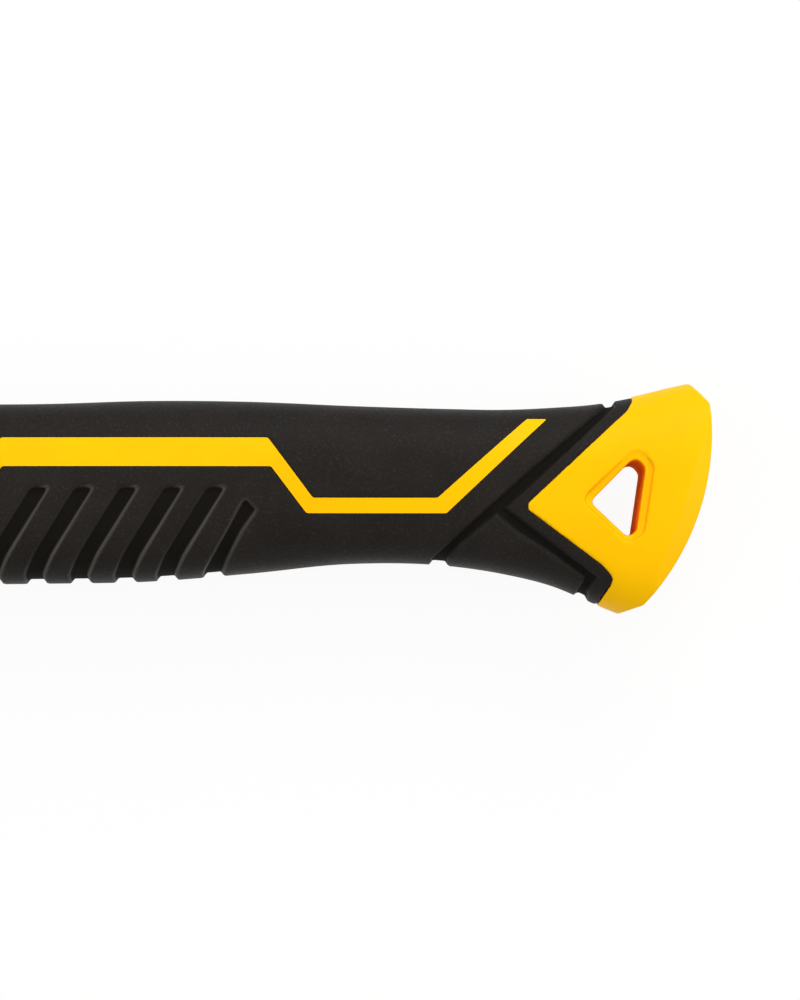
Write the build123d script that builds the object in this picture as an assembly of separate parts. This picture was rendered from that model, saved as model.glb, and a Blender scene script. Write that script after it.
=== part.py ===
from build123d import *
from math import cos, sin, pi, copysign
import os

# Pick-head fire axe lying on one cheek. Millimetres.
# +X runs along the handle to the butt, +Y to the pick, -Y to the cutting edge, +Z up.

# Overall sizes
overall_length = 715.0
head_width = 300.0
head_thickness = 44.0

# Fits
bond_gap = 0.05
pin_clearance = 0.04

# Head, measured from the eye's centre
toe_reach = 58.0
heel_reach = 62.0
edge_reach = 158.0
edge_sagitta = 8.0
bevel_width = 14.0
edge_land = 0.8
crown_reach = 30.0
throat_reach = 34.0
eye_length = 42.0
eye_width = 26.0
pin_radius = 3.0
pin_spacing = 26.0
pin_sink = 1.0
cap_height = 4.0
dam_height = 5.0

# Handle layers, across the handle in Y and through it in Z
core_size = (27.0, 17.0)
sleeve_size = (31.0, 22.0)
shaft_size = (36.0, 26.0)
guard_length = 86.0
guard_wall = 4.0

# Grip and butt, measured back from the butt's end
grip_length = 261.0
relief_depth = 1.1
sleeve_stop = 36.0
core_stop = 58.0
plug_root = 20.0
end_radius = 59.1
end_centre = (59.1, 12.4)
end_chamfer = 4.4
end_drop = 3.0
lip_depth = 1.3

handle_y = edge_reach - head_width / 2
mid_z = head_thickness / 2
butt_x = overall_length / 2
eye_x = toe_reach - overall_length / 2
crown_x = eye_x - crown_reach
throat_x = eye_x + throat_reach
grip_x = butt_x - grip_length
guard_x = throat_x + guard_length

# Distance from the butt's end, back and edge side of the handle axis, half thickness
grip_stations = [
    (261.0, 19.0, -19.0, 14.0),
    (239.0, 19.6, -21.6, 15.0),
    (204.0, 20.0, -22.9, 15.8),
    (157.0, 20.0, -22.9, 16.0),
    (133.0, 20.7, -22.4, 16.0),
    (109.0, 20.5, -20.5, 15.6),
    (85.0, 19.5, -18.2, 15.0),
    (62.0, 18.8, -18.7, 14.8),
    (49.0, 18.6, -20.6, 14.8),
    (37.0, 19.1, -23.6, 15.0),
    (27.0, 19.9, -27.8, 15.2),
    (18.0, 21.5, -31.2, 15.4),
    (9.0, 23.7, -33.0, 15.4),
    (-3.0, 26.4, -33.6, 15.0),
]

stripe_outline = [
    (167.0, 11.1), (104.4, 11.1), (93.8, -3.1), (64.6, -3.1), (43.5, 15.7), (38.8, 15.7),
    (62.5, -6.7), (95.3, -6.7), (103.6, 4.3), (166.6, 4.3), (179.7, -16.8), (184.1, -16.8),
]
butt_outline = [
    (17.9, 34.0), (18.5, 20.1), (19.9, 17.7), (44.3, -5.2), (25.9, -18.9), (23.0, -22.1),
    (27.1, -28.6), (28.9, -38.0), (-7.1, -38.0), (-5.8, 12.1), (4.6, 24.4), (12.9, 34.0),
]
heel_cut = [(28.3, -32.3), (-7.1, -20.3), (-7.1, -45.0), (28.3, -45.0)]
groove_outline = [
    (25.9, 34.0), (25.2, 19.6), (35.9, 10.1), (52.9, -5.5), (62.0, -13.9), (66.0, -17.5),
    (67.9, -24.0), (67.9, -38.0), (28.7, -38.0), (28.9, -25.5), (26.6, -22.1), (38.8, -13.1),
    (48.5, -5.7), (35.9, 6.4), (22.6, 19.1), (21.5, 34.0),
]
gusset_outline = [
    (50.9, -7.3), (58.9, -14.2), (61.9, -17.5), (62.9, -24.0), (62.9, -38.0), (31.8, -38.0),
    (31.8, -25.2), (30.2, -22.3), (38.7, -16.2), (46.1, -11.5),
]
hole_outline = [(28.8, -4.0), (18.1, 6.8), (15.8, 4.0), (18.0, -11.0), (20.2, -12.2)]
lip_outline = [(31.1, -3.6), (17.5, 9.5), (13.8, 4.5), (16.2, -11.4), (19.8, -13.9)]

# A finger slot's lean: how far it has moved towards the head at each depth
slot_lean = [(-0.5, 0.0), (-9.8, 5.6), (-17.0, 10.1), (-21.4, 12.3), (-38.0, 13.6)]
slot_tops = [160.0, 149.6, 139.1, 128.6, 118.7]
slot_width = 4.9
last_slot = [
    (109.7, -3.0), (106.9, -5.9), (110.5, -11.1), (114.1, -18.1), (115.5, -21.1), (116.5, -38.0),
    (121.5, -38.0), (120.0, -21.2), (116.9, -16.0), (113.9, -10.7),
]


def at_handle(u, v):
    return (butt_x - u, handle_y + v)


def prism(points, radii, low=-40.0, high=40.0):
    # Plate outlined in handle coordinates, between two heights about the handle's middle
    wire = FilletPolyline(*[at_handle(u, v) for u, v in points], radius=radii, close=True)
    return Pos(0, 0, mid_z + low) * extrude(make_face(wire), high - low, dir=(0, 0, 1))


def across(x):
    return Plane(origin=(x, handle_y, mid_z), x_dir=(0, 1, 0), z_dir=(1, 0, 0))


def rod(x0, x1, size, grow=0.0):
    ellipse = Ellipse(size[0] / 2 + grow, size[1] / 2 + grow)
    return extrude(across(x0) * ellipse, x1 - x0)


def ring_section(x, back, edge, half, square=2.6):
    middle = handle_y + (back + edge) / 2
    reach = (back - edge) / 2
    points = []
    for i in range(16):
        c = cos(2 * pi * i / 16)
        s = sin(2 * pi * i / 16)
        y = middle + reach * copysign(abs(c) ** (2 / square), c)
        z = mid_z + half * copysign(abs(s) ** (2 / square), s)
        points.append((x, y, z))
    return Wire([Spline(*points, periodic=True)])


def grip_body(shrink=0.0):
    rings = []
    for u, back, edge, half in grip_stations:
        rings.append(ring_section(butt_x - u, back - shrink, edge + shrink, half - shrink))
    return Solid.make_loft(rings)


def eye_rod(x0, x1, grow=0.0):
    return rod(x0, x1, (eye_length, eye_width), grow)


def pins(radius, low, high):
    first = Pos(eye_x - pin_spacing / 2, handle_y, low)
    second = Pos(eye_x + pin_spacing / 2, handle_y, low)
    round_bar = Cylinder(radius, high - low, align=(Align.CENTER, Align.CENTER, Align.MIN))
    return first * round_bar, second * round_bar


def axe_head():
    def at(x, y):
        return (eye_x + x, handle_y + y)

    corner = -(edge_reach - edge_sagitta)
    half_edge = (toe_reach + heel_reach) / 2
    edge_mid = (heel_reach - toe_reach) / 2
    tip = head_width - edge_reach
    outline = Wire([
        ThreePointArc(at(-toe_reach, corner), at(edge_mid, -edge_reach), at(heel_reach, corner)),
        ThreePointArc(at(heel_reach, corner), at(40, -88), at(throat_reach, -24)),
        Line(at(throat_reach, -24), at(throat_reach, 22)),
        ThreePointArc(at(throat_reach, 22), at(27.4, 28.6), at(24, 38)),
        ThreePointArc(at(24, 38), at(16, 92), at(15, tip)),
        Line(at(15, tip), at(11, tip)),
        ThreePointArc(at(11, tip), at(-10, 86), at(-crown_reach, 30)),
        Line(at(-crown_reach, 30), at(-crown_reach, -26)),
        ThreePointArc(at(-crown_reach, -26), at(-39, -88), at(-toe_reach, corner)),
    ])
    plate = extrude(make_face(outline), head_thickness, dir=(0, 0, 1))

    half = head_thickness / 2
    upper = [
        (-170, 3.0), (-146, 3.9), (-60, 8.6), (-34, 13.0), (-21, half), (21, half),
        (33, 14.0), (52, 10.5), (tip, 2.0), (tip + 12, 1.0),
    ]
    lower = [(y, -z) for y, z in reversed(upper)]
    soft = [0, 30, 60, 14, 12, 12, 12, 30, 0, 0]
    taper = FilletPolyline(*(upper + lower), radius=soft + soft[::-1], close=True)
    run = overall_length
    side = extrude(across(eye_x - run / 2) * make_face(taper), run, dir=(1, 0, 0))
    head = plate & side

    # Ground bevel that follows the curved edge
    radius = (half_edge ** 2 + edge_sagitta ** 2) / (2 * edge_sagitta)
    bevel = Polyline(
        (radius - bevel_width, 3.9), (radius + 6, edge_land / 2 - 0.6),
        (radius + 6, 20), (radius - bevel_width, 20), close=True,
    )
    centre = Pos(eye_x + edge_mid, handle_y - edge_reach + radius, mid_z)
    wheel = revolve(Plane.XZ * make_face(bevel), Axis.Z, 360)
    head -= centre * wheel
    head -= centre * mirror(wheel, Plane.XY)
    head -= eye_rod(crown_x - 5, throat_x + 5)
    for hole in pins(pin_radius + pin_clearance, -1, head_thickness + 1):
        head -= hole
    return head


def fibreglass_core():
    core = rod(crown_x + cap_height + bond_gap, butt_x - core_stop, core_size)
    for hole in pins(pin_radius + pin_clearance, 0, head_thickness):
        core -= hole
    return core


def eye_bond():
    start = crown_x + cap_height + bond_gap
    stop = throat_x - dam_height - bond_gap
    bond = eye_rod(start, stop, -bond_gap) - rod(start - 1, stop + 1, core_size, bond_gap)
    for hole in pins(pin_radius + pin_clearance, 0, head_thickness):
        bond -= hole
    return bond


def eye_cap():
    disc = eye_rod(crown_x, crown_x + cap_height, -bond_gap)
    dome = eye_rod(crown_x - 1.5, crown_x + 1, -2.5)
    return disc + dome


def epoxy_dam():
    start = throat_x - dam_height
    ring = eye_rod(start, throat_x, -bond_gap)
    return ring - rod(start - 1, throat_x + 1, core_size, bond_gap)


def stripe():
    return prism(stripe_outline, [1.0, 1.0, 1.0, 1.0, 0.3, 0.2, 1.0, 1.0, 1.0, 1.0, 0.3, 0.3])


def handle_jacket():
    front = throat_x + bond_gap
    stop = grip_x - bond_gap
    jacket = rod(front, stop, shaft_size)
    jacket += rod(stop - 1, butt_x - sleeve_stop, sleeve_size)
    jacket += stripe() & grip_body()
    return jacket - rod(front - 1, butt_x - sleeve_stop + 1, core_size, bond_gap)


def overstrike_guard():
    front = throat_x + bond_gap
    reach = shaft_size[0] / 2 + guard_wall
    half = shaft_size[1] / 2 + guard_wall
    sleeve = Solid.make_loft([
        ring_section(front, reach + 1.6, -reach - 1.6, half + 0.6),
        ring_section(front + 20, reach, -reach, half),
        ring_section(guard_x - 24, reach, -reach, half),
        ring_section(guard_x, reach - 2.4, -reach + 2.4, half - 2.4),
    ])
    for step in (22.0, 31.0, 40.0, 49.0, 58.0):
        band = extrude(across(front + step) * Rectangle(80, 80), 3.0)
        band -= rod(front + step - 1, front + step + 4, (2 * reach - 2.6, 2 * half - 2.6))
        sleeve -= band
    return sleeve - rod(front - 1, guard_x + 1, shaft_size, bond_gap)


def finger_slots():
    slots = []
    for top in slot_tops:
        left = [(top + lean, v) for v, lean in slot_lean]
        right = [(top - slot_width + lean, v) for v, lean in reversed(slot_lean)]
        slots.append(prism(left + right, [0.8] + [6, 6, 6, 0, 0, 6, 6, 6] + [0.8]))
    slots.append(prism(last_slot, [0.8, 0.8, 0, 0, 0, 0, 0, 0, 0, 0]))
    return slots


def relief():
    groove = prism(groove_outline, 0)
    gusset = prism(gusset_outline, [1.0, 0, 0, 0, 0, 0, 0, 1.0, 0, 0])
    cuts = [groove - gusset] + finger_slots()
    inner = grip_body(relief_depth)
    return [cut - inner for cut in cuts]


def butt_region():
    return prism(butt_outline, [0, 0.8, 0.8, 1.4, 3.0, 2.5, 0, 0, 0, 0, 2.0, 0])


def plug(x0, x1, grow=0.0):
    return rod(x0, x1, core_size, grow - bond_gap)


def grip_overmould():
    grip = grip_body()
    window = box_from(grip_x + bond_gap, butt_x - 10)
    grip &= window
    grip -= butt_region()
    for cut in relief():
        grip -= cut
    grip -= stripe()
    grip -= rod(grip_x - 1, butt_x - sleeve_stop, sleeve_size, bond_gap)
    return grip - plug(butt_x - sleeve_stop - 1, butt_x - 5, bond_gap)


def box_from(x0, x1):
    block = Box(x1 - x0, 160, 120, align=(Align.MIN, Align.CENTER, Align.CENTER))
    return Pos(x0, handle_y, mid_z) * block


def butt_cap():
    cap = grip_body() & butt_region()
    x, y = at_handle(*end_centre)
    half = grip_stations[-2][3]
    slope = end_chamfer / end_drop
    bevel_start = end_radius - end_chamfer - 4 * slope
    rim = Polyline(
        (0, -half - 4), (bevel_start, -half - 4), (end_radius, -half + end_drop),
        (end_radius, half - end_drop), (bevel_start, half + 4), (0, half + 4), close=True,
    )
    cap &= Pos(x, y, mid_z) * revolve(Plane.XZ * make_face(rim), Axis.Z, 360)
    cap -= prism(heel_cut, [0, 0, 0, 0])
    cap -= rod(grip_x, butt_x - sleeve_stop + bond_gap, sleeve_size, bond_gap)
    cap += plug(butt_x - core_stop + bond_gap, butt_x - plug_root) & box_from(0, butt_x - plug_root)
    cap -= prism(hole_outline, [1.2, 2.0, 1.8, 1.4, 1.4])
    top = grip_stations[-3][3]
    for low, high in ((top - lip_depth, 40), (-40, -top + lip_depth)):
        cap -= prism(lip_outline, [2.2, 2.8, 3.0, 2.4, 2.4], low, high)
    return cap


os.makedirs("parts", exist_ok=True)
upper, lower = pins(pin_radius, pin_sink, head_thickness - pin_sink)
nodes = {
    "axe_head": axe_head(),
    "fibreglass_core": fibreglass_core(),
    "eye_bond": eye_bond(),
    "eye_cap": eye_cap(),
    "epoxy_dam": epoxy_dam(),
    "upper_pin": upper,
    "lower_pin": lower,
    "handle_jacket": handle_jacket(),
    "overstrike_guard": overstrike_guard(),
    "grip_overmould": grip_overmould(),
    "butt_cap": butt_cap(),
}
for name, shape in nodes.items():
    box = shape.bounding_box()
    print(name, len(shape.solids()), round(shape.volume / 1000, 1), box.min, box.max)
    export_step(shape, "parts/" + name + ".step")
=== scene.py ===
from math import cos, pi, radians, sin

import bmesh
import bpy
import numpy as np
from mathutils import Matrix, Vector


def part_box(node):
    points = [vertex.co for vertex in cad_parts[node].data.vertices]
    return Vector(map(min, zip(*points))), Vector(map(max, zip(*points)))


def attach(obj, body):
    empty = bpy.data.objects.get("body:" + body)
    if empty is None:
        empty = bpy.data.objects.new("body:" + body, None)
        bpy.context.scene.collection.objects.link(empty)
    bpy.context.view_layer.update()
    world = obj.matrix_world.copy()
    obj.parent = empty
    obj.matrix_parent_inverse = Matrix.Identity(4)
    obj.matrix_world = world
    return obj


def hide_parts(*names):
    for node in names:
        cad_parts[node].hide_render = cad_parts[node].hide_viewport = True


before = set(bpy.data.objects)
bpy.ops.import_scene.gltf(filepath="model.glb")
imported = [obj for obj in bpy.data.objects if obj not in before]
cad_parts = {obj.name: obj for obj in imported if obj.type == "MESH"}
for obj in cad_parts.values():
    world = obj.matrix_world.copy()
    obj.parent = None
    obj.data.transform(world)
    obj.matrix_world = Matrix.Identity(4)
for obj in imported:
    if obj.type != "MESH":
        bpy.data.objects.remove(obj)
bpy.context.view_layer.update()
mm = 0.001

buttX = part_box("butt_cap")[1].x
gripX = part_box("grip_overmould")[0].x
coreLow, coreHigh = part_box("fibreglass_core")
handleY = (coreLow.y + coreHigh.y) / 2
midZ = (coreLow.z + coreHigh.z) / 2
headLow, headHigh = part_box("axe_head")
print("frame loaded, butt end at", round(buttX, 4))


def tone(red, green, blue):  # screen colour, 0 to 255, as a shader colour
    parts = []
    for level in (red, green, blue):
        level = level / 255
        parts.append(level / 12.92 if level <= 0.04045 else ((level + 0.055) / 1.055) ** 2.4)
    return (*parts, 1.0)


class Value:  # one socket, with sums written as plain maths
    def __init__(self, nodes, socket):
        self.nodes = nodes
        self.socket = socket

    def maths(self, operation, first, second):
        return self.nodes.node("ShaderNodeMath", {"operation": operation}, {0: first, 1: second})

    def __add__(self, other):
        return self.maths("ADD", self, other)

    def __radd__(self, other):
        return self.maths("ADD", other, self)

    def __sub__(self, other):
        return self.maths("SUBTRACT", self, other)

    def __rsub__(self, other):
        return self.maths("SUBTRACT", other, self)

    def __mul__(self, other):
        return self.maths("MULTIPLY", self, other)


class Nodes:
    def __init__(self, tree):
        self.tree = tree

    def node(self, kind, settings, inputs, output=0):
        made = self.tree.nodes.new(kind)
        for label, value in settings.items():
            setattr(made, label, value)
        for label, value in inputs.items():
            self.feed(made.inputs[label], value)
        return Value(self, made.outputs[output])

    def feed(self, socket, value):
        if isinstance(value, Value):
            self.tree.links.new(value.socket, socket)
        else:
            socket.default_value = value


class Finish(Nodes):  # a material built round one Principled shader
    def __init__(self, name, **fixed):
        self.material = bpy.data.materials.new(name)
        self.material.use_nodes = True
        super().__init__(self.material.node_tree)
        self.shader = self.tree.nodes["Principled BSDF"]
        self.place = self.node("ShaderNodeTexCoord", {}, {}, "Object")
        for label, value in fixed.items():
            self.set(label.replace("_", " "), value)

    def set(self, label, value):
        self.feed(self.shader.inputs[label], value)

    def noise(self, size, detail=2.0, rough=0.5, stretch=None):
        place = self.place
        if stretch:
            place = self.node("ShaderNodeMapping", {}, {"Vector": place, "Scale": stretch})
        inputs = {"Vector": place, "Scale": 1 / size, "Detail": detail, "Roughness": rough}
        return self.node("ShaderNodeTexNoise", {}, inputs)

    def ramp(self, value, low, high):
        inputs = {0: value, 1: low, 2: high}
        return self.node("ShaderNodeMapRange", {"interpolation_type": "SMOOTHSTEP"}, inputs)

    def blend(self, amount, first, second):
        inputs = {0: amount, 6: first, 7: second}
        return self.node("ShaderNodeMix", {"data_type": "RGBA"}, inputs, 2)

    def flatLength(self, vector):  # its length seen from above
        flat = self.node("ShaderNodeVectorMath", {"operation": "MULTIPLY"}, {0: vector, 1: (1, 1, 0)})
        return self.node("ShaderNodeVectorMath", {"operation": "LENGTH"}, {0: flat}, "Value")

    def bump(self, height, distance):
        inputs = {"Height": height, "Distance": distance, "Strength": 1.0}
        self.set("Normal", self.node("ShaderNodeBump", {}, inputs))


# the floor colour is painted shade for the slot and groove floors, and the edge colour is a painted
# highlight
rubberLook = {
    "face": tone(22, 18, 15), "pale": tone(50, 47, 44), "floor": tone(17, 16, 12), "wearAndPaintedHighlight": tone(104, 97, 90),
    "grain": 0.0006, "grainDepth": 0.00011, "roughness": 0.52, "floorRoughness": 0.9,
}


def rubberFinish(name, look, hasRelief):
    finish = Finish(name, Specular_IOR_Level=0.1)
    grain = finish.noise(look["grain"], 3.0, 0.65)
    speckle = finish.ramp(grain, 0.5, 0.72)
    cloud = finish.ramp(finish.noise(0.011, 3.0, 0.6), 0.35, 0.7)
    shade = finish.blend(speckle * 0.4 + cloud * 0.15, look["face"], look["pale"])
    rough = look["roughness"] + cloud * 0.08 - speckle * 0.08
    if hasRelief:
        relief = finish.node("ShaderNodeAttribute", {"attribute_name": "relief"}, {}, "Fac")
        wearAndPaintedHighlight = finish.node("ShaderNodeAttribute", {"attribute_name": "wearAndPaintedHighlight"}, {}, "Fac")
        # painted highlight: lightens the slots' edges, mostly on the side towards the butt
        shade = finish.blend(wearAndPaintedHighlight * 0.5, shade, look["wearAndPaintedHighlight"])
        # painted shade: darkens the slot and groove floors
        deep = finish.ramp(relief, 0.45, 0.95)
        shade = finish.blend(deep, shade, look["floor"])
        rough = rough + deep * (look["floorRoughness"] - look["roughness"])
        grain = grain + deep * finish.noise(0.0011, 2.0, 0.6) * 1.5
    finish.set("Base Color", shade)
    finish.set("Roughness", rough)
    finish.bump(grain, look["grainDepth"])
    return finish.material


yellowLook = {
    "face": tone(255, 195, 0), "warm": tone(255, 184, 0), "scuff": tone(226, 160, 0),
    "hole": tone(255, 138, 0), "roughness": 0.42, "grain": 0.0004, "grainDepth": 0.000012,
    "holeBack": 20.5, "holeUp": -3.0, "holeReach": 0.0135, "holeFade": 0.001, "lipFloor": 0.0136,
    "lipFade": 0.0009,
}


def holeWalls(finish, look):  # where painted shade and yellow bounce light go: 1 on the lanyard hole's walls, less on its lip's, 0 elsewhere
    middle = (buttX - look["holeBack"] * mm, handleY + look["holeUp"] * mm, midZ)
    offset = finish.node("ShaderNodeVectorMath", {"operation": "SUBTRACT"}, {0: finish.place, 1: middle})
    facing = finish.node("ShaderNodeNewGeometry", {}, {}, "Normal")
    upright = finish.ramp(finish.flatLength(facing), 0.45, 0.95)
    near = finish.ramp(finish.flatLength(offset), look["holeReach"] + look["holeFade"], look["holeReach"])
    height = finish.node("ShaderNodeSeparateXYZ", {}, {0: finish.place}, 2)
    lip = look["lipFloor"]
    under = finish.ramp(height, midZ + lip + look["lipFade"], midZ + lip)
    over = finish.ramp(height, midZ - lip - look["lipFade"], midZ - lip)
    return upright * near * (0.35 + under * over * 0.65)


def yellowFinish(name, look):
    finish = Finish(name, Specular_IOR_Level=0.05)
    cloud = finish.ramp(finish.noise(0.03, 3.0, 0.55), 0.35, 0.7)
    shade = finish.blend(cloud * 0.55, look["face"], look["warm"])
    scuff = finish.ramp(finish.noise(0.004, 5.0, 0.72, (1.0, 4.0, 1.0)), 0.66, 0.8)
    shade = finish.blend(scuff * 0.22, shade, look["scuff"])
    # painted shade and yellow bounce light on the lanyard hole's walls and lip
    wall = holeWalls(finish, look)
    finish.set("Base Color", finish.blend(wall * 0.85, shade, look["hole"]))
    finish.set("Roughness", look["roughness"] + scuff * 0.2 + cloud * 0.05 + wall * 0.4)
    finish.bump(finish.noise(look["grain"], 2.0, 0.5), look["grainDepth"])
    return finish.material


headLook = {
    "paint": tone(176, 16, 18), "deepPaint": tone(128, 10, 13), "steel": tone(176, 178, 182),
    "dark": tone(124, 123, 124), "bareEdge": 0.0155, "edgeFade": 0.0006, "bareTip": 0.019,
    "tipFade": 0.0008, "ragged": 0.0035, "edgeFrom": 0.05, "edgeBlend": 0.03,
}


def headFinish(look):
    finish = Finish("redEnamelAndSteel", Specular_IOR_Level=0.35)
    towardsPick = finish.node("ShaderNodeSeparateXYZ", {}, {0: finish.place}, 1)
    arcMiddle = headShape["arcMiddle"]
    offset = finish.node("ShaderNodeVectorMath", {"operation": "SUBTRACT"}, {0: finish.place, 1: arcMiddle})
    ragged = (finish.noise(0.006, 5.0, 0.7) - 0.5) * look["ragged"]
    edgeStart = arcMiddle[1] - look["edgeFrom"]
    edgeSide = finish.ramp(towardsPick, edgeStart + look["edgeBlend"], edgeStart)
    edgeLine = headShape["edgeRadius"] - look["bareEdge"]
    edge = finish.ramp(finish.flatLength(offset) + ragged, edgeLine, edgeLine + look["edgeFade"]) * edgeSide
    tipLine = headHigh.y - look["bareTip"]
    tip = finish.ramp(towardsPick + ragged, tipLine, tipLine + look["tipFade"])
    chips = finish.ramp(finish.noise(0.0045, 6.0, 0.78), 0.705, 0.72)
    bare = finish.node("ShaderNodeClamp", {}, {0: edge + tip + chips * 0.9})
    grind = finish.noise(0.0006, 3.0, 0.6, (1.0, 0.04, 1.0))
    steel = finish.blend(finish.ramp(grind, 0.3, 0.75), look["steel"], look["dark"])
    cloud = finish.ramp(finish.noise(0.02, 4.0, 0.6), 0.3, 0.75)
    paint = finish.blend(cloud * 0.6, look["paint"], look["deepPaint"])
    finish.set("Base Color", finish.blend(bare, paint, steel))
    finish.set("Metallic", bare)
    finish.set("Roughness", 0.3 + cloud * 0.1 + bare * (finish.ramp(grind, 0.2, 0.8) * 0.2))
    finish.set("Coat Weight", 0.2 - bare * 0.2)
    peel = finish.noise(0.0016, 2.0, 0.5)
    finish.bump(peel * (1 - bare) + grind * bare * 0.6 - bare * 1.4, 0.00006)
    return finish.material


def plainFinish(name, first, second, size, roughness, metallic=0.0, depth=0.00003, stretch=None):
    finish = Finish(name, Metallic=metallic)
    grain = finish.noise(size, 4.0, 0.62, stretch)
    finish.set("Base Color", finish.blend(finish.ramp(grain, 0.3, 0.7), first, second))
    finish.set("Roughness", roughness + grain * 0.14)
    finish.bump(grain, depth)
    return finish.material


def piece(name, mesh, material, slot, *nodes):
    made = bpy.data.objects.new(name, mesh)
    bpy.context.scene.collection.objects.link(made)
    mesh.materials.clear()
    mesh.materials.append(material)
    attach(made, "root")
    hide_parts(*nodes)
    return made


def creaseAt(bm, degrees):
    for face in bm.faces:
        face.smooth = True
    for edge in bm.edges:
        edge.smooth = edge.calc_face_angle(0) < radians(degrees)


def cadCopy(node, degrees=32, flatten=False):
    bm = bmesh.new()
    bm.from_mesh(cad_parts[node].data)
    bmesh.ops.remove_doubles(bm, verts=bm.verts, dist=3e-6)
    if flatten:
        bmesh.ops.dissolve_limit(bm, angle_limit=radians(0.5), verts=bm.verts, edges=bm.edges)
    creaseAt(bm, degrees)
    mesh = bpy.data.meshes.new(node)
    bm.to_mesh(mesh)
    bm.free()
    if "custom_normal" in mesh.attributes:
        mesh.attributes.remove(mesh.attributes["custom_normal"])
    return mesh


def smoothCurve(places, knots, values):  # Catmull-Rom through the knots
    knots = np.asarray(knots, float)
    values = np.asarray(values, float)
    slopes = np.gradient(values, knots)
    index = np.clip(np.searchsorted(knots, places) - 1, 0, len(knots) - 2)
    span = knots[index + 1] - knots[index]
    t = (places - knots[index]) / span
    rise = (2 * t ** 3 - 3 * t ** 2 + 1) * values[index] + (3 * t ** 2 - 2 * t ** 3) * values[index + 1]
    lean = (t ** 3 - 2 * t ** 2 + t) * slopes[index] + (t ** 3 - t ** 2) * slopes[index + 1]
    return rise + lean * span


def outlineDistance(u, v, outline):  # below zero inside
    best = np.full(u.shape, 1e9)
    inside = np.zeros(u.shape, bool)
    corners = list(outline)
    for (au, av), (bu, bv) in zip(corners, corners[1:] + corners[:1]):
        du, dv = bu - au, bv - av
        t = np.clip(((u - au) * du + (v - av) * dv) / (du * du + dv * dv), 0, 1)
        best = np.minimum(best, np.hypot(u - au - t * du, v - av - t * dv))
        if dv:
            crossing = ((av > v) != (bv > v)) & (u < au + (v - av) * du / dv)
            inside ^= crossing
    return np.where(inside, -best, best)


def step(value, low, high):
    t = np.clip((value - low) / (high - low), 0, 1)
    return t * t * (3 - 2 * t)


grip = {
    "from": [-3, 9, 18, 27, 37, 49, 62, 85, 109, 133, 157, 204, 239, 261],  # back from the butt, mm
    "back": [26.4, 23.7, 21.5, 19.9, 19.1, 18.6, 18.8, 19.5, 20.5, 20.7, 20.0, 20.0, 19.6, 19.0],
    "edge": [-33.6, -33, -31.2, -27.8, -23.6, -20.6, -18.7, -18.2, -20.5, -22.4, -22.9, -22.9, -21.6, -19],
    "half": [15, 15.4, 15.4, 15.2, 15, 14.8, 14.8, 15, 15.6, 16, 16, 15.8, 15, 14],
    "square": 2.6,
    "spacing": [(15, 0.38), (49, 1.6), (54, 0.55), (64, 1.6), (84, 0.55), (103, 0.43), (166, 1.2),
                (170, 0.6), (176, 1.9), (257.5, 0.4)],  # from here, mm apart
    "leanFrom": [15, 43, 47, 103, 175, 261],
    "lean": [0, 1.05, 1.1, 0.6, 0.6, 0],
    "rows": 256,
    "roughHalf": (20, 16),  # half width and half thickness, for spacing the rows
    "shaftHalf": (18.0, 13.0),  # where the grip's last ring closes in
    "depth": 1.15,
    "wall": 1.0,
    "under": 0.08,  # the stripe and the butt stand this much proud
    "endRound": 2.2,
    "buttSink": (2.2, -0.25, 0.9),  # how deep it passes under, from and to this far in, mm
    "stripeSink": (0.9, -0.05, 0.7),
    "buriedFrom": 1.5,
    "gate": (78.5, -7.6),
    "gateHeight": 0.22,
    "gateSize": (0.3, 1.3),
    "creaseOver": 65,
    "slotTops": [160.0, 149.6, 139.1, 128.6, 118.7],
    "slotLeanAt": [-38, -21.4, -17.0, -9.8, -0.5, 2],
    "slotLean": [13.6, 12.3, 10.1, 5.6, 0, -1.4],
    "slotWidth": 4.6,
    "slotTop": -0.4,
    "slotSlant": 0.86,
    "slotCorner": 1.3,
    "lastCorner": 0.9,
    "paintedHighlightWidth": (0.1, 0.6),  # the painted highlight line is full up to the first and gone past the second
    "lastPaintedHighlightWidth": (0.1, 0.7),
    "lastPaintedHighlightFrom": 115.5,
}

lastSlot = [
    (109.6, -4.5), (108.1, -6.1), (111.3, -10.7), (114.9, -17.7), (116.4, -20.9), (117.4, -38.0),
    (120.6, -38.0), (119.1, -21.4), (116.1, -16.4), (113.1, -11.2),
]
grooveOutline = [
    (25.9, 34.0), (25.2, 19.6), (35.9, 10.1), (52.9, -5.5), (62.0, -13.9), (66.0, -17.5),
    (67.9, -24.0), (67.9, -38.0), (28.7, -38.0), (28.9, -25.5), (26.6, -22.1), (38.8, -13.1),
    (48.5, -5.7), (35.9, 6.4), (22.6, 19.1), (21.5, 34.0),
]
gussetOutline = [
    (50.9, -7.3), (58.9, -14.2), (61.9, -17.5), (62.9, -24.0), (62.9, -38.0), (31.8, -38.0),
    (31.8, -25.2), (30.2, -22.3), (38.7, -16.2), (46.1, -11.5),
]
buttOutline = [
    (17.9, 34.0), (18.5, 20.1), (19.9, 17.7), (43.2, -4.2), (43.1, -6.1), (25.9, -18.9), (23.0, -22.1),
    (27.1, -28.6), (28.9, -38.0), (-7.1, -38.0), (-7.1, 34.0),
]
stripeOutline = [
    (167.0, 11.1), (104.4, 11.1), (93.8, -3.1), (64.6, -3.1), (43.5, 15.7), (38.8, 15.7),
    (62.5, -6.7), (95.3, -6.7), (103.6, 4.3), (166.6, 4.3), (179.7, -16.8), (184.1, -16.8),
]


def sectionAt(u):
    back = smoothCurve(u, grip["from"], grip["back"])
    edge = smoothCurve(u, grip["from"], grip["edge"])
    return (back + edge) / 2, (back - edge) / 2, smoothCurve(u, grip["from"], grip["half"])


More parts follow.
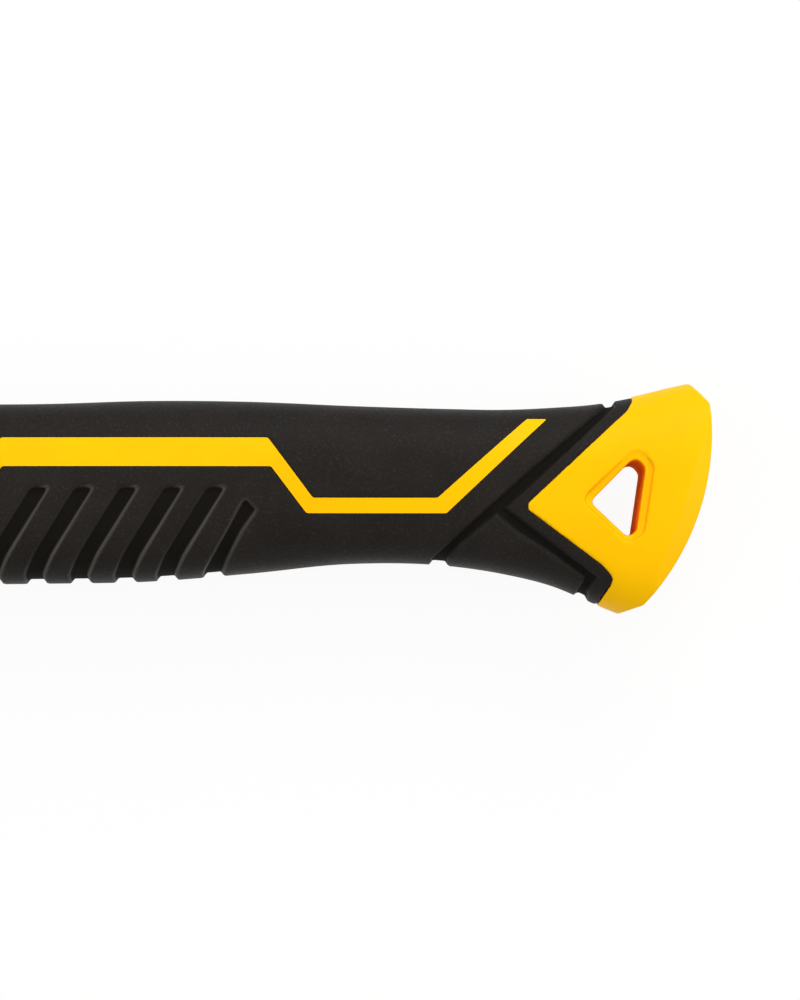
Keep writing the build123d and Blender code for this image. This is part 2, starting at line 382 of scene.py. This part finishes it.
def ringShape(rows):  # unit superellipse, evenly spaced round its length
    turn = np.linspace(0, 2 * pi, 6001)
    power = 2 / grip["square"]
    across = np.sign(np.cos(turn)) * np.abs(np.cos(turn)) ** power
    through = np.sign(np.sin(turn)) * np.abs(np.sin(turn)) ** power
    wide, thick = grip["roughHalf"]
    length = np.concatenate([[0], np.cumsum(np.hypot(np.diff(across) * wide, np.diff(through) * thick))])
    even = rows * length[-1]
    return np.interp(even, length, across), np.interp(even, length, through)


def slotDistance(u, v, top):
    lean = np.interp(v, grip["slotLeanAt"], grip["slotLean"])
    middle = top - grip["slotWidth"] / 2 + lean
    corner = grip["slotCorner"]
    sideways = (np.abs(u - middle) - grip["slotWidth"] / 2) * grip["slotSlant"] + corner
    upward = v - grip["slotTop"] + corner
    outer = np.hypot(np.maximum(sideways, 0), np.maximum(upward, 0))
    return outer + np.minimum(np.maximum(sideways, upward), 0) - corner


def reliefAt(u, v):  # 0 on the panels, 1 on a floor
    wall = grip["wall"]
    groove = np.maximum(outlineDistance(u, v, grooveOutline), -outlineDistance(u, v, gussetOutline))
    amount = step(-groove, -wall * 0.3, wall * 0.7)
    for top in grip["slotTops"]:
        amount = np.maximum(amount, step(-slotDistance(u, v, top), -wall * 0.4, wall * 0.6))
    short = outlineDistance(u, v, lastSlot) - grip["lastCorner"]
    return np.maximum(amount, step(-short, -wall * 0.4, wall * 0.6))


def paintedHighlightAt(u, v):  # 1 along the slots' edges on the side towards the butt, where a painted highlight lightens the rubber
    wearAndPaintedHighlight = np.zeros(u.shape)
    for top in grip["slotTops"]:
        lean = np.interp(v, grip["slotLeanAt"], grip["slotLean"])
        side = step(top - grip["slotWidth"] / 2 + lean - u, -0.4, 1.2)
        away = np.abs(slotDistance(u, v, top) + 0.1)
        wearAndPaintedHighlight = np.maximum(wearAndPaintedHighlight, (1 - step(away, *grip["paintedHighlightWidth"])) * (0.2 + 0.8 * side))
    side = step(grip["lastPaintedHighlightFrom"] - u - 0.25 * v, -0.5, 1.5)
    away = np.abs(outlineDistance(u, v, lastSlot) - grip["lastCorner"] + 0.1)
    return np.maximum(wearAndPaintedHighlight, (1 - step(away, *grip["lastPaintedHighlightWidth"])) * (0.2 + 0.5 * side))


def gripColumns():
    stops = grip["spacing"] + [((buttX - gripX) / mm, 0)]
    columns = []
    for (start, gap), (stop, _) in zip(stops, stops[1:]):
        columns.extend(np.arange(start, stop - gap * 0.3, gap))
    columns.append(stops[-1][0])
    return np.array(columns)


def unitGrid(columns):  # a flat sheet as wide as the columns and one more that closes the end
    bm = bmesh.new()
    bmesh.ops.create_grid(bm, x_segments=len(columns), y_segments=grip["rows"], size=1)
    mesh = bpy.data.meshes.new("gripShell")
    bm.to_mesh(mesh)
    bm.free()
    flat = np.zeros(len(mesh.vertices) * 3)
    mesh.vertices.foreach_get("co", flat)
    flat = flat.reshape(-1, 3)
    column = np.rint((flat[:, 0] + 1) / 2 * len(columns)).astype(int)
    return mesh, column, (flat[:, 1] + 1) / 2


def placeOnGrip(along, across):  # rows follow the slots and grooves, so u depends on v
    lean = np.interp(along, grip["leanFrom"], grip["lean"])
    v = across * grip["roughHalf"][0]
    for _ in range(6):
        u = along - lean * v
        middle, reach, _half = sectionAt(u)
        v = middle + reach * across
    return along - lean * v, v


def sunkAt(u, v, relief, butt, lastU):  # how far below the full section the rubber lies
    sunk = grip["under"] + grip["depth"] * relief
    end = np.clip(grip["endRound"] - (lastU - u), 0, grip["endRound"])
    sunk += grip["endRound"] - np.sqrt(grip["endRound"] ** 2 - end ** 2)
    for inside, (deep, start, full) in (
        (-butt, grip["buttSink"]),
        (-outlineDistance(u, v, stripeOutline), grip["stripeSink"]),
    ):
        sunk += deep * step(inside, start, full)
    gateU, gateV = grip["gate"]
    return sunk - grip["gateHeight"] * (1 - step(np.hypot(u - gateU, v - gateV), *grip["gateSize"]))


def finishShell(mesh):  # drops what the butt hides, joins the seam and sets the creases
    bm = bmesh.new()
    bm.from_mesh(mesh)
    depth = bm.verts.layers.float["hidden"]
    buried = [f for f in bm.faces if min(vert[depth] for vert in f.verts) > grip["buriedFrom"]]
    bmesh.ops.delete(bm, geom=buried, context="FACES")
    bmesh.ops.remove_doubles(bm, verts=bm.verts, dist=2e-6)
    bmesh.ops.recalc_face_normals(bm, faces=bm.faces)
    creaseAt(bm, grip["creaseOver"])
    bm.to_mesh(mesh)
    bm.free()
    mesh.attributes.remove(mesh.attributes["hidden"])


def gripMesh():
    columns = gripColumns()
    mesh, column, rows = unitGrid(columns)
    across, through = ringShape(rows)
    u, v = placeOnGrip(columns[np.minimum(column, len(columns) - 1)], across)
    middle, reach, half = sectionAt(u)
    relief = reliefAt(u, v)
    butt = outlineDistance(u, v, buttOutline)
    sunk = sunkAt(u, v, relief, butt, columns[-1])
    closing = column == len(columns)
    reach = np.where(closing, grip["shaftHalf"][0], reach - sunk)
    half = np.where(closing, grip["shaftHalf"][1], half - sunk)
    middle = np.where(closing, 0, middle)
    place = np.empty((len(u), 3))
    place[:, 0] = buttX - u * mm
    place[:, 1] = handleY + (middle + reach * across) * mm
    place[:, 2] = midZ + half * through * mm
    mesh.vertices.foreach_set("co", place.ravel())
    for name, values in (("relief", relief), ("wearAndPaintedHighlight", paintedHighlightAt(u, v)), ("hidden", -butt)):
        mesh.attributes.new(name, "FLOAT", "POINT").data.foreach_set("value", values)
    finishShell(mesh)
    print("grip shell has", len(mesh.polygons), "faces")
    return mesh


rubber = rubberFinish("gripRubber", rubberLook, True)
piece("gripRubber", gripMesh(), rubber, "grip_rubber", "grip_overmould")

butt = {"voxel": 0.00036, "smooth": 5}
yellow = yellowFinish("yellowPlastic", yellowLook)


def buttPiece():
    made = piece("buttCap", cadCopy("butt_cap"), yellow, "butt_plastic", "butt_cap")
    remesh = made.modifiers.new("evenSkin", "REMESH")
    remesh.mode = "VOXEL"
    remesh.voxel_size = butt["voxel"]
    remesh.use_smooth_shade = True
    soften = made.modifiers.new("softEdges", "SMOOTH")
    soften.factor = 0.5
    soften.iterations = butt["smooth"]
    return made


buttPiece()
piece("handleJacket", cadCopy("handle_jacket", 28), yellow, "jacket_plastic", "handle_jacket")
print("grip, butt and jacket made")

headShape = {"edgeRadius": 0.229, "bevel": 0.0009}
headShape["arcMiddle"] = ((headLow.x + headHigh.x) / 2, headLow.y + headShape["edgeRadius"], midZ)


def headPiece():
    made = piece("axeHead", cadCopy("axe_head", 30, True), headFinish(headLook), "head_steel", "axe_head")
    rounding = made.modifiers.new("wearAndPaintedHighlight", "BEVEL")
    rounding.width = headShape["bevel"]
    rounding.segments = 2
    rounding.limit_method = "ANGLE"
    rounding.angle_limit = radians(38)
    rounding.use_clamp_overlap = True
    return made


headPiece()

guardLook = dict(rubberLook, grain=0.0004, roughness=0.6)
guardRubber = rubberFinish("guardRubber", guardLook, False)
piece("overstrikeGuard", cadCopy("overstrike_guard"), guardRubber, "guard_rubber", "overstrike_guard")
piece("eyeCap", cadCopy("eye_cap"), guardRubber, "cap_rubber", "eye_cap")

innerLooks = {
    "fibreglass_core": plainFinish("glassFibre", tone(206, 198, 168), tone(176, 166, 130), 0.0007, 0.5,
                                   stretch=(0.05, 1.0, 1.0)),
    "eye_bond": plainFinish("curedEpoxy", tone(58, 50, 40), tone(38, 33, 27), 0.004, 0.2),
    "epoxy_dam": plainFinish("foamRing", tone(60, 60, 60), tone(36, 36, 36), 0.0008, 0.85, depth=0.0001),
    "upper_pin": plainFinish("pinSteel", tone(170, 170, 174), tone(128, 128, 132), 0.0008, 0.3, 1.0),
}
innerLooks["lower_pin"] = innerLooks["upper_pin"]
for node, material in innerLooks.items():
    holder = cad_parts[node]
    holder.data.materials.clear()
    holder.data.materials.append(material)
print("head end made")

stage = {
    "floor": tone(246, 246, 246), "floorReach": 4, "floorDrop": 0.0003, "worldLight": 0.4, "floorGlow": 0.93,
    "lamps": [  # place from the view's centre, size, watts
        ((0.3, 1.1, 0.9), 0.8, 12),
        ((-0.6, 0.0, 1.3), 1.0, 5),
        ((1.1, -0.15, 0.55), 0.6, 5),
        ((-1.2, 0.1, 0.5), 0.4, 2.5),
    ],
}
view = {"back": 73.4, "up": -2.9, "tall": 238.1, "distance": 0.89, "tilt": 2.8}
centre = Vector((buttX - view["back"] * mm, handleY + view["up"] * mm, midZ))


def whiteWhenSeen(tree, dim, glow, output):
    # the camera and mirror-like rays see plain white, and everything else the lit surface
    nodes = Nodes(tree)

    def either(first, second):
        return nodes.node("ShaderNodeMath", {"operation": "MAXIMUM"}, {0: first, 1: second})

    camera, glossy, through = [
        nodes.node("ShaderNodeLightPath", {}, {}, kind)
        for kind in ("Is Camera Ray", "Is Glossy Ray", "Is Transmission Ray")
    ]
    kind = "ShaderNodeEmission" if glow < 1 else "ShaderNodeBackground"
    bright = nodes.node(kind, {}, {"Color": (1, 1, 1, 1), "Strength": 1.0})
    share = either(either(camera, glossy), through) * glow
    mix = nodes.node("ShaderNodeMixShader", {}, {0: share, 1: Value(nodes, dim), 2: bright})
    nodes.feed(output, mix)


def makeFloor():
    bm = bmesh.new()
    bmesh.ops.create_grid(bm, x_segments=1, y_segments=1, size=stage["floorReach"])
    bmesh.ops.translate(bm, verts=bm.verts, vec=(0, 0, -stage["floorDrop"]))
    mesh = bpy.data.meshes.new("floor")
    bm.to_mesh(mesh)
    bm.free()
    made = bpy.data.objects.new("floor", mesh)
    bpy.context.scene.collection.objects.link(made)
    paint = bpy.data.materials.new("paleFloor")
    paint.use_nodes = True
    shader = paint.node_tree.nodes["Principled BSDF"]
    shader.inputs["Base Color"].default_value = stage["floor"]
    shader.inputs["Roughness"].default_value = 0.9
    output = paint.node_tree.nodes["Material Output"].inputs["Surface"]
    whiteWhenSeen(paint.node_tree, shader.outputs[0], stage["floorGlow"], output)
    mesh.materials.append(paint)


def makeWorld():
    world = bpy.data.worlds.new("softWhite")
    bpy.context.scene.world = world
    world.use_nodes = True
    dim = world.node_tree.nodes["Background"]
    dim.inputs["Color"].default_value = (1, 1, 1, 1)
    dim.inputs["Strength"].default_value = stage["worldLight"]
    output = world.node_tree.nodes["World Output"].inputs["Surface"]
    whiteWhenSeen(world.node_tree, dim.outputs[0], 1.0, output)


def makeLamps():
    for number, (offset, size, watts) in enumerate(stage["lamps"]):
        lamp = bpy.data.lights.new("softbox" + str(number), "AREA")
        lamp.size = size
        lamp.energy = watts
        holder = bpy.data.objects.new(lamp.name, lamp)
        bpy.context.scene.collection.objects.link(holder)
        holder.location = centre + Vector(offset)
        holder.rotation_euler = (-Vector(offset)).to_track_quat("-Z", "Y").to_euler()


def makeCamera():
    lens = bpy.data.cameras.new("sideView")
    lens.sensor_width = 36
    lens.lens = 36 * view["distance"] / (view["tall"] * mm)
    lens.clip_start = 0.01
    holder = bpy.data.objects.new("sideView", lens)
    bpy.context.scene.collection.objects.link(holder)
    tilt = radians(view["tilt"])
    holder.location = centre + Vector((0, -sin(tilt), cos(tilt))) * view["distance"]
    holder.rotation_euler = (tilt, 0, 0)
    bpy.context.scene.camera = holder


makeFloor()
makeWorld()
makeLamps()
makeCamera()
bpy.context.scene.view_settings.view_transform = "Standard"
